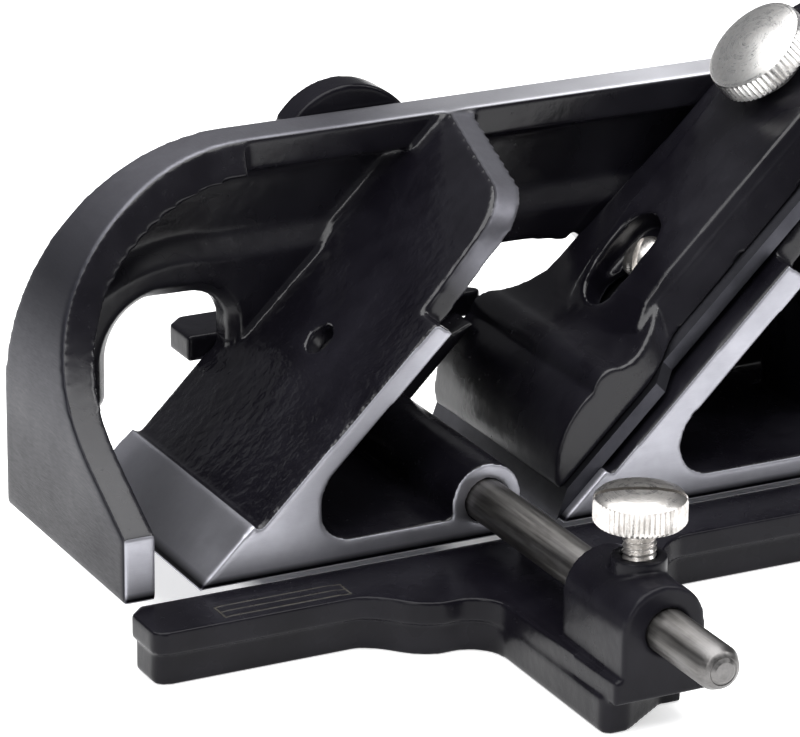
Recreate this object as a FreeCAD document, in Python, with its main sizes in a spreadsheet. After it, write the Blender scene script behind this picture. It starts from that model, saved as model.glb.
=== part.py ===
"""Duplex fillister and rebate plane, as separate pieces.

Frame: millimetres, +X from the toe to the heel, +Y from the fence side to the
depth stop side, +Z up.  The origin lies on the sole, midway across the body's
width, straight under the axis of the fence rod.

Each cutter bed rises towards the heel at bed_angle.  What lies on a bed is
drawn in that bed's own axes: first axis up the slope from the mouth, second
axis across the plane, third axis square out of the bed.
"""
import FreeCAD
import Part
import math
import os
import Sketcher
from FreeCAD import Placement, Rotation, Vector

doc = FreeCAD.newDocument("rebate_plane")
sheet = doc.addObject("Spreadsheet::Sheet", "Sizes")

SIZES = {
    # body casting
    "body_width": 39.5,
    "toe_reach": 52.7,          # toe to rod axis
    "heel_reach": 160.3,        # rod axis to heel
    "sole_thick": 3.6,
    "flange_top": 49,
    "flange_width": 6.8,
    "flange_thick": 4.6,
    "web_thick": 5.5,
    "panel_depth": 2,
    "panel_sill": 32,           # height of the lower edge of the web panels
    "hoop_radius": 32.5,
    "hoop_thick": 4.6,
    "toe_step": 9,              # height of the full-width part of the toe
    # beds
    "bed_angle": 44,
    "nose_bed_x": 40.5,         # rod axis to bullnose bed, at the sole
    "main_bed_x": 13.1,         # rod axis to main bed, at the sole
    "mouth_front": 5.8,         # rod axis to the front lip of the main mouth
    "bed_wide_reach": 45.5,     # how far up the slope a bed is full width
    "nose_bed_thick": 3.1,
    "main_bed_thick": 4,
    "pad_proud": 1.2,           # machined pad above the cast bed
    "nose_pad_reach": 10,
    "main_pad_reach": 8.3,
    "cap_screw_reach": 35,
    "fin_thick": 3.8,
    # rod and fence
    "rod_radius": 3,
    "rod_height": 5.4,
    "rod_boss_radius": 5.2,
    "rod_end": 82.2,
    "bore_gap": 0.05,
    "fence_top": 0.3,           # fence top below the sole
    "fence_bottom": 8,
    "fence_tier": 3.5,
    "fence_width": 9.7,
    "fence_tail": 69.3,
    "side_gap": 0.3,
    "arm_toe_side": 7.9,
    "arm_heel_side": 6.2,
    "arch_toe_side": 6.4,
    "arch_heel_side": 5.3,
    "arch_height": 11.6,
    "arch_far": 52.3,
    "arch_near": 68.3,
    "clamp_reach": 60.4,
    # cutter and lever cap
    "cutter_thick": 2,
    "cutter_width": 38,
    "cutter_length": 93,
    "cap_gap": 0.05,
    "cap_shelf": 7.3,           # height of the cap's flat above the cast bed
    "cap_hump": 9.4,
    "cutter_offset": 0.7,       # the iron lies flush with the far side
    "knob_reach": 66.5,
    "knob_radius": 7.5,
    # adjusting lever
    "lever_pivot_reach": 62,
    "lever_pivot_drop": 7,
    # depth stop
    "stop_x": 1,
    "stop_half": 8.9,
    "stop_top": 52.1,
    "stop_thick": 5,
    "stop_foot_low": 15.8,
    "stop_foot_thick": 3.6,
    "stop_foot_heel": 19.7,
    "stop_screw_height": 30,
    # spur
    "spur_x": 12.2,
    "spur_height": 6,
    "spur_radius": 6.7,
    # handle
    "handle_thick": 14,
}


class Size:
    """A length that knows both its number and its formula over the sheet."""

    def __init__(self, value, text=None):
        self.value = float(value)
        self.text = text if text is not None else "%.6g" % value

    def joined(self, other, sign, value):
        other = size(other)
        return Size(value(self.value, other.value), "(%s %s %s)" % (self.text, sign, other.text))

    def __add__(self, other):
        return self.joined(other, "+", lambda a, b: a + b)

    def __sub__(self, other):
        return self.joined(other, "-", lambda a, b: a - b)

    def __mul__(self, other):
        return self.joined(other, "*", lambda a, b: a * b)

    def __truediv__(self, other):
        return self.joined(other, "/", lambda a, b: a / b)

    def __radd__(self, other):
        return size(other) + self

    def __rsub__(self, other):
        return size(other) - self

    def __rmul__(self, other):
        return size(other) * self

    def __neg__(self):
        return Size(-self.value, "(-1 * %s)" % self.text)


def size(number):
    return number if isinstance(number, Size) else Size(number)


def fill_sheet():
    for row, (name, value) in enumerate(SIZES.items(), 1):
        sheet.set("A%d" % row, name)
        sheet.set("B%d" % row, str(value))
        sheet.setAlias("B%d" % row, name)
    doc.recompute()


class Sheet:
    """Sizes by name: D.body_width is the cell and its number together."""

    def __getattr__(self, name):
        return Size(SIZES[name], "Sizes.%s" % name)


D = Sheet()
fill_sheet()

slope = math.radians(SIZES["bed_angle"])
COS = Size(math.cos(slope), "cos(Sizes.bed_angle)")
SIN = Size(math.sin(slope), "sin(Sizes.bed_angle)")
HALF = D.body_width / 2
RADIUS = "radius"


def bed_point(bed_x, along, out):
    """The XZ place of a point that lies along the slope and out of a bed."""
    return (bed_x + along * COS - out * SIN, along * SIN + out * COS)


NOSE_BED = -D.nose_bed_x
MAIN_BED = D.main_bed_x


# ---------------------------------------------------------------- drawing
def origin_plane(body, role):
    for feature in body.Origin.OriginFeatures:
        if feature.Role == role:
            return feature
    raise ValueError(role)


def arc_through(start, end, radius):
    """The arc from start to end: centre on the left for a positive radius."""
    (x0, y0), (x1, y1) = start, end
    chord = math.hypot(x1 - x0, y1 - y0)
    rise = math.sqrt(max(radius * radius - chord * chord / 4, 0))
    side = 1 if radius > 0 else -1
    cx = (x0 + x1) / 2 - side * rise * (y1 - y0) / chord
    cy = (y0 + y1) / 2 + side * rise * (x1 - x0) / chord
    first = math.atan2(y0 - cy, x0 - cx)
    last = math.atan2(y1 - cy, x1 - cx)
    circle = Part.Circle(Vector(cx, cy, 0), Vector(0, 0, 1), abs(radius))
    if side > 0:
        return Part.ArcOfCircle(circle, first, last)
    return Part.ArcOfCircle(circle, last, first)


def pin_point(sketch, geometry, end, place):
    for kind, wanted in zip(("DistanceX", "DistanceY"), place):
        index = sketch.addConstraint(Sketcher.Constraint(kind, -1, 1, geometry, end, wanted.value))
        sketch.setExpression("Constraints[%d]" % index, wanted.text)


def bend_arc(sketch, index, start, end, radius):
    """Holds an arc's radius; a half circle is held by its centre instead."""
    width = abs(end[0] - start[0])
    height = abs(end[1] - start[1])
    if 2 * abs(radius.value) > math.hypot(width, height) + 1e-6:
        turn = sketch.addConstraint(Sketcher.Constraint("Radius", index, abs(radius.value)))
        sketch.setExpression("Constraints[%d]" % turn, "abs(%s)" % radius.text)
    elif width > height:
        middle = (start[1] + end[1]) / 2
        sketch.addConstraint(Sketcher.Constraint("DistanceY", -1, 1, index, 3, middle))
    else:
        middle = (start[0] + end[0]) / 2
        sketch.addConstraint(Sketcher.Constraint("DistanceX", -1, 1, index, 3, middle))


def draw(body, role, offset, corners):
    """A closed outline on an origin plane of the body.

    Each corner is (a, b) where a straight side leaves it, or (a, b, r) where
    an arc of radius r leaves it, turning left for a positive r.
    """
    sketch = body.newObject("Sketcher::SketchObject", body.Name + "_outline")
    sketch.AttachmentSupport = (origin_plane(body, role), [""])
    sketch.MapMode = "FlatFace"
    sketch.setExpression("AttachmentOffset.Base.z", size(offset).text)
    places = [(size(c[0]), size(c[1])) for c in corners]
    for index, corner in enumerate(corners):
        following = (index + 1) % len(corners)
        start = (places[index][0].value, places[index][1].value)
        end = (places[following][0].value, places[following][1].value)
        if len(corner) == 3:
            radius = size(corner[2])
            sketch.addGeometry(arc_through(start, end, radius.value), False)
            ends = (1, 2) if radius.value > 0 else (2, 1)
            pin_point(sketch, index, ends[0], places[index])
            pin_point(sketch, index, ends[1], places[following])
            bend_arc(sketch, index, start, end, radius)
        else:
            line = Part.LineSegment(Vector(start[0], start[1], 0), Vector(end[0], end[1], 0))
            sketch.addGeometry(line, False)
            pin_point(sketch, index, 1, places[index])
            pin_point(sketch, index, 2, places[following])
    return sketch


def draw_circles(body, role, offset, circles):
    sketch = body.newObject("Sketcher::SketchObject", body.Name + "_circles")
    sketch.AttachmentSupport = (origin_plane(body, role), [""])
    sketch.MapMode = "FlatFace"
    sketch.setExpression("AttachmentOffset.Base.z", size(offset).text)
    for index, (a, b, radius) in enumerate(circles):
        a, b, radius = size(a), size(b), size(radius)
        sketch.addGeometry(Part.Circle(Vector(a.value, b.value, 0), Vector(0, 0, 1), radius.value), False)
        pin_point(sketch, index, 3, (a, b))
        turn = sketch.addConstraint(Sketcher.Constraint("Radius", index, radius.value))
        sketch.setExpression("Constraints[%d]" % turn, radius.text)
    return sketch


def bound_feature(body, kind, sketch, length, reverse=False, both=False):
    feature = body.newObject("PartDesign::" + kind, body.Name + "_" + kind.lower())
    feature.Profile = sketch
    feature.Reversed = reverse
    feature.Midplane = both
    feature.setExpression("Length", size(length).text)
    sketch.Visibility = False
    return feature


def on_bed(bed_x, across=0):
    """The Placement of a bed's own axes."""
    return Placement(Vector(bed_x.value, across, 0), Rotation(Vector(0, 1, 0), -SIZES["bed_angle"]))


def follow_bed(piece, bed_x):
    piece.Placement = on_bed(bed_x)
    piece.setExpression("Placement.Base.x", bed_x.text)
    piece.setExpression("Placement.Rotation.Angle", "Sizes.bed_angle")
    piece.Placement.Rotation.Axis = Vector(0, -1, 0)


def slab(name, corners, low, high, bed=None):
    """A plate drawn in the XZ plane, from low to high along Y."""
    body = doc.addObject("PartDesign::Body", name)
    sketch = draw(body, "XZ_Plane", -size(low), corners)
    bound_feature(body, "Pad", sketch, size(high) - low, reverse=True)
    if bed is not None:
        follow_bed(body, bed)
    return body


def plate(name, corners, low, high, bed=None):
    """A plate drawn in the XY plane, from low to high along Z."""
    body = doc.addObject("PartDesign::Body", name)
    sketch = draw(body, "XY_Plane", low, corners)
    bound_feature(body, "Pad", sketch, size(high) - low)
    if bed is not None:
        follow_bed(body, bed)
    return body


def bar(name, corners, low, high):
    """A bar drawn in the YZ plane, from low to high along X."""
    body = doc.addObject("PartDesign::Body", name)
    sketch = draw(body, "YZ_Plane", low, corners)
    bound_feature(body, "Pad", sketch, size(high) - low)
    return body


def rod(name, radius, start, axis, length, bed=None):
    """A cylinder from start along an axis, bound to its sizes."""
    body = doc.addObject("Part::Cylinder", name)
    body.setExpression("Radius", size(radius).text)
    body.setExpression("Height", size(length).text)
    turns = {"+Z": Rotation(), "+Y": Rotation(Vector(1, 0, 0), -90), "-Y": Rotation(Vector(1, 0, 0), 90)}
    body.Placement = Placement(Vector(*[size(v).value for v in start]), turns[axis])
    if bed is None:
        for letter, value in zip("xyz", start):
            body.setExpression("Placement.Base.%s" % letter, size(value).text)
        return body
    body.Placement = on_bed(bed).multiply(body.Placement)
    return body


def fused(name, pieces):
    body = doc.addObject("Part::MultiFuse", name)
    body.Shapes = pieces
    return body


def cut(name, base, tools):
    tool = tools[0] if len(tools) == 1 else fused(name + "_tools", tools)
    body = doc.addObject("Part::Cut", name)
    body.Base = base
    body.Tool = tool
    return body


def common(name, first, second):
    body = doc.addObject("Part::Common", name)
    body.Base = first
    body.Tool = second
    return body


# ---------------------------------------------------------------- body casting
def toe_hoop():
    """The toe and the front of the hoop, which narrows to the flange."""
    toe = -D.toe_reach
    centre_x = toe + D.hoop_radius
    centre_z = D.flange_top - D.hoop_radius
    inner = D.hoop_radius - D.hoop_thick
    band = slab("hoop_band", [
        (toe, 0),
        (toe + D.hoop_thick, 0),
        (toe + D.hoop_thick, centre_z, -inner),
        (centre_x, centre_z + inner),
        (centre_x, D.flange_top, D.hoop_radius),
        (toe, centre_z),
    ], -HALF, HALF)
    flange_edge = HALF - D.flange_width
    sweep = bar("hoop_sweep", [
        (-HALF - 1, D.toe_step),
        (-HALF, D.toe_step),
        (-HALF + 9.5, D.toe_step + 5.4, 38),
        (flange_edge - 6.3, D.toe_step + 24.1),
        (flange_edge - 3, D.toe_step + 34),
        (flange_edge, D.flange_top),
        (flange_edge, D.flange_top + 1),
        (-HALF - 1, D.flange_top + 1),
    ], toe - 1, centre_x + 1)
    return cut("toe_hoop", band, [sweep])


def side_outline(top, toe):
    """The outline of the far side, from toe to heel."""
    centre_x = toe + D.hoop_radius
    centre_z = D.flange_top - D.hoop_radius
    return [
        (toe, 0),
        (D.heel_reach, 0),
        (D.heel_reach, 9, 12),
        (D.heel_reach - 10, 15),
        (98, 19, -45),
        (76, 32, 30),
        (64, top),
        (centre_x, top, D.hoop_radius),
        (toe, centre_z),
    ]


def nose_window(grow):
    """The escapement above the bullnose bed, open down to the sole."""
    toe = -D.toe_reach
    low = bed_point(NOSE_BED, size(-3), size(0))
    high = bed_point(NOSE_BED, 26.4 + grow, size(0))
    left = toe + 13.3 - grow
    return [
        (toe + D.hoop_thick, -1),
        (low[0], -1),
        low,
        high,
        (high[0], 22.4, 5.4 + grow),
        (high[0] - 5, 27.4 + grow),
        (high[0] - 12, 27.6 + grow, 8.6 + grow),
        (left, 20),
        (left, 14),
        (toe + 8.6, 8.5),
        (toe + D.hoop_thick, 7),
    ]


def main_window():
    """The escapement between the bullnose bed and the main cutter."""
    return [
        (9.3, 14.5),
        (29.3, 22.6),
        (30.3, 25.2, 1.6),
        (28.9, 27.2, 40),
        (17, 27.8),
        (9, 25.5, 6),
        (5.6, 18, 4),
    ]


def cutter_throat():
    """Room for the cutter and its cap, square out of the main bed."""
    start = bed_point(MAIN_BED, size(-12), size(0))
    roof = [
        bed_point(MAIN_BED, size(along), D.cap_hump + out)
        for along, out in ((32.7, -1.9), (30.5, -1.6), (27, -1), (23.3, 0.7), (-3.5, 0.7))
    ]
    return [start, bed_point(MAIN_BED, size(32.7), size(0))] + roof + [
        (D.mouth_front, 2.5),
        (D.mouth_front, -1),
        (start[0], -1),
    ]


def far_web():
    """The side wall, with its openings and its two tapered panels."""
    inner = HALF - D.web_thick
    toe = -D.toe_reach
    wall = slab("side_wall", side_outline(D.flange_top, toe), inner, HALF)
    openings = [
        slab("nose_opening", nose_window(size(0)), inner - 1, HALF + 1),
        tapered("nose_chamfer", "XZ_Plane", -inner, nose_window(size(1.9)), -inner - 2, nose_window(size(0))),
        slab("main_opening", main_window(), inner - 1, HALF + 1),
        slab("throat_opening", cutter_throat(), inner - 1, HALF + 1),
    ]
    return cut("far_web", wall, openings + side_panels(inner))


def tapered(name, role, low, outer, high, inner, bed=None):
    """A plug that narrows from the outer outline at low to the inner at high."""
    body = doc.addObject("PartDesign::Body", name)
    wide = draw(body, role, low, outer)
    narrow = draw(body, role, high, inner)
    loft = body.newObject("PartDesign::AdditiveLoft", name + "_loft")
    loft.Profile = wide
    loft.Sections = [narrow]
    loft.Ruled = True
    wide.Visibility = False
    narrow.Visibility = False
    if bed is not None:
        follow_bed(body, bed)
    return body


def nose_panel(inset, rise):
    """The panel between the hoop and the bullnose bed."""
    toe = -D.toe_reach
    roof = D.flange_top - D.flange_thick - inset
    sill = D.panel_sill + rise
    low = bed_point(NOSE_BED, sill / SIN, size(0))
    high = bed_point(NOSE_BED, roof / SIN, size(0))
    return [
        (toe + 8 + inset, 26 + rise, -24),
        (toe + 29, sill),
        (low[0] - 1.5 * inset, sill),
        (high[0] - 1.5 * inset, roof),
        (toe + D.hoop_radius, roof, 27),
    ]


def main_panel(inset, rise):
    """The panel between the back of the bullnose bed and the main bed."""
    roof = D.flange_top - D.flange_thick - inset
    sill = D.panel_sill + rise
    under = size(0) - D.fin_thick
    near_low = bed_point(NOSE_BED, (sill - under * COS) / SIN, under)
    near_high = bed_point(NOSE_BED, (roof - under * COS) / SIN, under)
    far_low = bed_point(MAIN_BED, sill / SIN, size(0))
    far_high = bed_point(MAIN_BED, roof / SIN, size(0))
    return [
        (near_low[0] + 1.5 * inset, sill),
        (far_low[0] - 1.5 * inset, sill),
        (far_high[0] - 1.5 * inset, roof),
        (near_high[0] + 1.5 * inset, roof),
    ]


def side_panels(inner):
    deep = inner + D.panel_depth
    return [
        tapered(panel.__name__ + "_plug", "XZ_Plane", -inner, panel(size(0), size(0)),
                -deep, panel(size(1), size(3.2)))
        for panel in (nose_panel, main_panel)
    ]


def beds():
    """The two full-width bed frames, each one piece with its stretch of sole."""
    sole = D.sole_thick
    nose_under = -D.nose_bed_thick
    main_under = -D.main_bed_thick
    reach = D.bed_wide_reach
    nose = slab("nose_frame", [
        (NOSE_BED, 0),
        (D.mouth_front, 0),
        (D.mouth_front - 0.9, sole),
        (-20.3, sole, -4.2),
        (-24.3, sole + 4.4, -7),
        bed_point(NOSE_BED, size(22.5), nose_under),
        bed_point(NOSE_BED, reach + 0.6, nose_under),
        bed_point(NOSE_BED, reach, size(0)),
    ], -HALF, HALF)
    main = slab("main_frame", [
        (MAIN_BED, 0),
        (D.heel_reach, 0),
        (D.heel_reach, sole),
        (34.2, sole, -4.4),
        (29.8, sole + 5, -7),
        bed_point(MAIN_BED, size(21.5), main_under),
        bed_point(MAIN_BED, reach + 0.6, main_under),
        bed_point(MAIN_BED, reach, size(0)),
    ], -HALF, HALF)
    pieces = [nose, main]
    lip = -D.pad_proud * COS / SIN
    for name, bed_x, reach in (("nose", NOSE_BED, D.nose_pad_reach), ("main", MAIN_BED, D.main_pad_reach)):
        pad_outline = [(0, 0), (reach, 0), (reach, D.pad_proud), (lip, D.pad_proud)]
        pieces.append(slab(name + "_pad", pad_outline, -HALF, HALF, bed_x))
    return pieces


def nose_fin_outline(near, lean):
    """The plan of the bullnose fin; its upper end leans over by lean."""
    flange_reach = D.flange_top / SIN + lean
    return [
        (43, near + 4.2),
        (57.5, near + 6.2, 9.5),
        (65 + lean, near + 12),
        (flange_reach, HALF - D.flange_width),
        (flange_reach, HALF - 1),
        (43, HALF - 1),
    ]


def bed_fins():
    """The upper, narrower part of each bed, up to the flange."""
    near = -HALF
    flange_reach = D.flange_top / SIN
    nose = tapered("nose_fin", "XY_Plane", -D.fin_thick, nose_fin_outline(near, size(2.5)),
                   0, nose_fin_outline(near, size(0)), NOSE_BED)
    main = plate("main_fin", [
        (43, near + 4.2),
        (60, near + 5.5, 24),
        (76, -8),
        (76, 8),
        (flange_reach, HALF - D.flange_width),
        (flange_reach, HALF - 1),
        (43, HALF - 1),
    ], -D.fin_thick, 0, MAIN_BED)
    return [nose, main]


def handle():
    """The closed grip behind the main bed, cast with the body."""
    half = D.handle_thick / 2
    under = bed_point(MAIN_BED, size(76), size(-2))
    saddle = bed_point(MAIN_BED, size(92), size(-12))
    body = doc.addObject("PartDesign::Body", "handle")
    outer = draw(body, "XZ_Plane", half, [
        (58, 2),
        (154, 2),
        (156, 7, -34),
        (143, 34, -60),
        (148, 66, -40),
        (158, 84, 6),
        (152, 93, 36),
        (112, 94, 34),
        (96, 74, -22),
        saddle,
        under,
        bed_point(MAIN_BED, size(60), size(-2)),
    ])
    bound_feature(body, "Pad", outer, D.handle_thick, reverse=True)
    loop = draw(body, "XZ_Plane", half + 1, [
        (82, 26, 11),
        (101, 16, 14),
        (118, 24, -60),
        (131, 66, 12),
        (116, 79, 13),
        (104, 70, -34),
        (86, 46, 24),
    ])
    bound_feature(body, "Pocket", loop, D.handle_thick + 2, reverse=False)
    doc.recompute()
    return body


def lever_slot():
    """Room for the adjusting lever in the bed and the front of the grip."""
    return slab("lever_slot", [
        (51, 3),
        (51, -14),
        (112, -17),
        (112, 3),
    ], -2.6, 2.6, MAIN_BED)


def body_holes():
    """Threaded and plain holes of the casting."""
    web_inner = HALF - D.web_thick - 1
    holes = [
        rod("rod_hole", D.rod_radius + D.bore_gap / 2, (0, -HALF - 1, D.rod_height), "+Y", 32),
        rod("stop_screw_hole", 2.45, (-D.stop_x, web_inner, D.stop_screw_height), "+Y", 9),
        rod("spur_hole", 1.65, (-D.spur_x, web_inner, D.spur_height), "+Y", 9),
        rod("spur_recess", D.spur_radius + 0.4, (-D.spur_x, HALF - 1.8, D.spur_height), "+Y", 3),
        rod("nose_screw_hole", 2.25, (D.cap_screw_reach, 0, -8), "+Z", 12, NOSE_BED),
        rod("main_screw_hole", 2.25, (D.cap_screw_reach, 0, -8), "+Z", 12, MAIN_BED),
        rod("pivot_hole", 1.55, (D.lever_pivot_reach, -12, -D.lever_pivot_drop), "+Y", 21, MAIN_BED),
    ]
    return holes


def plane_body():
    flange = slab("top_flange", [
        (-D.toe_reach + D.hoop_radius - 0.5, D.flange_top - D.flange_thick),
        (58, D.flange_top - D.flange_thick),
        (64, D.flange_top),
        (-D.toe_reach + D.hoop_radius - 0.5, D.flange_top),
    ], HALF - D.flange_width, HALF)
    rod_boss = rod("rod_boss", D.rod_boss_radius, (0, -HALF, D.rod_height), "+Y", D.body_width)
    pivot_boss = rod("pivot_boss", 4, (D.lever_pivot_reach, -8, -D.lever_pivot_drop), "+Y", 16, MAIN_BED)
    solid = fused("casting_solid", [toe_hoop(), far_web(), flange, rod_boss, pivot_boss, handle()]
                  + beds() + bed_fins())
    return cut("plane_body", solid, body_holes() + [lever_slot()])


# ---------------------------------------------------------------- cutter group
def cutter():
    """A T-shaped iron: full width at the edge, narrower beside the web."""
    low = D.pad_proud
    high = D.pad_proud + D.cutter_thick
    far = D.cutter_width / 2 + D.cutter_offset
    near = D.cutter_offset - D.cutter_width / 2
    near_neck = -HALF + 3.5
    far_neck = HALF - 8.7
    blank = plate("cutter_blank", [
        (-8, near),
        (21.5, near),
        (24.5, near_neck),
        (D.cutter_length - 4, near_neck),
        (D.cutter_length, near_neck + 4),
        (D.cutter_length, far_neck - 4),
        (D.cutter_length - 4, far_neck),
        (30.5, far_neck),
        (22, far),
        (-8, far),
    ], low, high, MAIN_BED)
    edge_low = -low * COS / SIN
    bevel = slab("cutter_bevel", [
        (-12, -1),
        (edge_low, low),
        (edge_low + 4.2, high + 0.02),
        (edge_low + 4.2, high + 2),
        (-12, high + 2),
    ], -HALF - 1, HALF + 1, MAIN_BED)
    slot = plate("cutter_slot", [
        (26, -2.7),
        (50, -2.7, 2.7),
        (50, 2.7),
        (26, 2.7, 2.7),
    ], low - 1, high + 1, MAIN_BED)
    tools = [bevel, slot]
    for index in range(9):
        start = D.lever_pivot_reach - 0.55 + 1.7 * (index - 4)
        tools.append(plate("cutter_groove_%d" % index, [
            (start, -6),
            (start + 1.1, -6),
            (start + 1.1, 6),
            (start, 6),
        ], low - 1, low + 0.7, MAIN_BED))
    return cut("cutter", blank, tools)


def cap_side(low):
    """The cap seen from the side: a rounded shoe, then a flat shelf."""
    shelf = D.cap_shelf
    return [
        (2.3, low),
        (83, low),
        (83, shelf - 1.2),
        (72, shelf),
        (24, shelf, -7),
        (19.8, D.cap_hump - 0.8, 3.5),
        (14.8, D.cap_hump, 13),
        (2.3, low + 0.7),
    ]


def cap_plan():
    """The cap from above: a wide shoe, two shoulders, a waist and a round end."""
    return [
        (2.3, -HALF + 2.4),
        (19.3, -HALF + 2.4, 14),
        (27.5, -HALF + 5.3),
        (30, -HALF + 7.4),
        (72, -HALF + 7.4, 22),
        (83, -5, 7),
        (83, 5, 24),
        (72, HALF - 7.3),
        (52, HALF - 7.3),
        (26.2, HALF - 5.8),
        (23.5, HALF - 3.9),
        (20.5, HALF - 2),
        (17, HALF - 0.9),
        (2.3, HALF - 0.9),
    ]


def spine_plan(near, far):
    """The raised middle of the cap from above, with a round lower end."""
    return [
        (21.7, -2),
        (25.4, near - 1),
        (29.5, near),
        (72, near, 20),
        (81.5, -4),
        (81.5, 3, 20),
        (72, far + 1.2),
        (60, far + 1.2),
        (40, far),
        (27, far - 1.6, 7),
    ]


def lever_cap():
    """The cap: shoe and shelf in one block, with a spine that rises to the knob."""
    low = D.pad_proud + D.cutter_thick + D.cap_gap
    shelf = D.cap_shelf
    block = common("cap_block", slab("cap_side", cap_side(low), -HALF, HALF, MAIN_BED),
                   plate("cap_plan", cap_plan(), low - 1, D.cap_hump + 1, MAIN_BED))
    spine_side = slab("spine_side", [
        (20, low),
        (82, low),
        (82, shelf - 0.5),
        (75, shelf + 1.6),
        (34, shelf + 1.5),
        (29, shelf + 1.1),
        (24, shelf + 0.1),
        (20, shelf + 0.1),
    ], -HALF, HALF, MAIN_BED)
    spine_plug = tapered("spine_plug", "XY_Plane", low, spine_plan(size(-14.3), size(9)),
                         shelf + 3, spine_plan(size(-10.4), size(6)), MAIN_BED)
    spine = common("cap_spine", spine_side, spine_plug)
    relief = plate("cap_relief", [(9, -14), (20, -14), (28, -8.4), (58, -8.4), (58, 8.4), (28, 8.4), (20, 14), (9, 14)],
                   low - 1, low + 0.8, MAIN_BED)
    seat = plate("cap_seat", [
        (31.4, -4.1),
        (36.2, -4.1, 4.1),
        (36.2, 4.1),
        (31.4, 4.1, 4.1),
    ], 5.4, shelf + 3, MAIN_BED)
    key = plate("cap_key", [
        (26.4, -2.6, 3.7),
        (31.6, -2.6),
        (35.4, -2.6, 2.6),
        (35.4, 2.6),
        (31.6, 2.6, 3.7),
        (26.4, 2.6, 3.7),
    ], low - 1, shelf + 3, MAIN_BED)
    knob_hole = rod("cap_knob_hole", 2.55, (D.knob_reach, 0, low - 1), "+Z", 12, MAIN_BED)
    return cut("lever_cap", fused("cap_solid", [block, spine]), [relief, seat, key, knob_hole])


def turned(name, outline, bed=None, place=None, turn=None):
    """A turned piece: its half outline is (radius, height) about its own Z axis."""
    body = doc.addObject("PartDesign::Body", name)
    sketch = draw(body, "XZ_Plane", 0, outline)
    spin = body.newObject("PartDesign::Revolution", name + "_revolution")
    spin.Profile = sketch
    spin.ReferenceAxis = (sketch, ["V_Axis"])
    spin.Angle = 360
    sketch.Visibility = False
    base = Placement(Vector(*[size(v).value for v in place]), turn or Rotation())
    body.Placement = base if bed is None else on_bed(bed).multiply(base)
    return body


def screw_slot(body, top, depth, half_length, half_width):
    """A screwdriver slot across the top of a turned piece."""
    sketch = draw(body, "XY_Plane", top, [
        (-half_length, -half_width),
        (half_length, -half_width),
        (half_length, half_width),
        (-half_length, half_width),
    ])
    bound_feature(body, "Pocket", sketch, depth)


def lever_cap_knob():
    tip = D.pad_proud + D.cutter_thick + D.cap_gap
    rim = D.knob_radius
    return turned("lever_cap_knob", [
        (0, tip),
        (2.5, tip),
        (2.5, 9.6),
        (5.2, 9.6),
        (5.2, 10.9),
        (rim - 0.5, 10.9),
        (rim, 11.4),
        (rim, 14.6),
        (rim - 0.6, 15.1, 22),
        (0.8, 16),
        (0, 16),
    ], MAIN_BED, (D.knob_reach, 0, 0))


def lever_cap_screw():
    body = turned("lever_cap_screw", [
        (0, -4),
        (2.2, -4),
        (2.2, 5.5),
        (3.2, 5.5),
        (3.2, 6.2, 4.2),
        (0, 7.3),
    ], MAIN_BED, (D.cap_screw_reach, 0, 0))
    screw_slot(body, 8, 1.5, 4, 0.5)
    return body


def adjusting_lever():
    """A rocker: its tooth moves the cutter, its long arm is the hand lever."""
    pivot_x = D.lever_pivot_reach
    pivot_z = -D.lever_pivot_drop
    body = doc.addObject("PartDesign::Body", "adjusting_lever")
    arm = draw(body, "XZ_Plane", 2.2, [
        (pivot_x - 3.6, pivot_z, 3.6),
        (pivot_x + 3.4, pivot_z - 1.2),
        (94, -8.4, 12),
        (104, -1.5),
        (102, 1.6),
        (92, -4.6, -20),
        (74, -3),
        (pivot_x + 1.7, -3.4),
        (pivot_x + 0.25, D.pad_proud + 0.55),
        (pivot_x - 0.25, D.pad_proud + 0.55),
        (pivot_x - 1.7, -3),
    ])
    bound_feature(body, "Pad", arm, 4.4, reverse=True)
    hole = draw_circles(body, "XZ_Plane", 4, [(pivot_x, pivot_z, 1.6)])
    bound_feature(body, "Pocket", hole, 8)
    grip = draw_circles(body, "XZ_Plane", 6.5, [(103.6, 0.2, 3.2)])
    bound_feature(body, "Pad", grip, 13, reverse=True)
    follow_bed(body, MAIN_BED)
    return body


def adjusting_lever_pivot():
    body = turned("adjusting_lever_pivot", [
        (0, 0),
        (1.5, 0),
        (1.5, 16.4),
        (2.4, 16.4),
        (2.4, 17.8),
        (0, 17.8),
    ], MAIN_BED, (D.lever_pivot_reach, 8.3, -D.lever_pivot_drop), Rotation(Vector(1, 0, 0), 90))
    return body


# ---------------------------------------------------------------- fence group
def fence_outline(toe, near, arm_end):
    """The plan of the fence: a bar with an arm that flares out of it."""
    root = -HALF - D.side_gap
    return [
        (toe + 2, root),
        (toe, root - 2),
        (toe, near + 2, 2),
        (toe + 2, near),
        (-24.2, near, -9),
        (-19.4, near - 3.6, 9),
        (-14.8, near - 6.4),
        (-12.6, near - 6.4, -5),
        (-D.arm_toe_side, near - 11),
    ] + arm_end + [
        (D.arm_heel_side, near - 11, -6.5),
        (12.6, near - 6.4),
        (14.8, near - 6.4, 9),
        (19.4, near - 3.6, -9),
        (24.2, near),
        (D.fence_tail - 2, near, 2),
        (D.fence_tail, near + 2),
        (D.fence_tail, root - 2),
        (D.fence_tail - 2, root),
    ]


def arch_outline():
    """The end view of the boss that slides on the rod."""
    toe = -D.arch_toe_side
    heel = D.arch_heel_side
    radius = (heel - toe) / 2
    spring = D.arch_height - radius
    return [
        (toe, -D.fence_top - 1),
        (heel, -D.fence_top - 1),
        (heel, spring, radius),
        (toe, spring),
    ]


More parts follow.
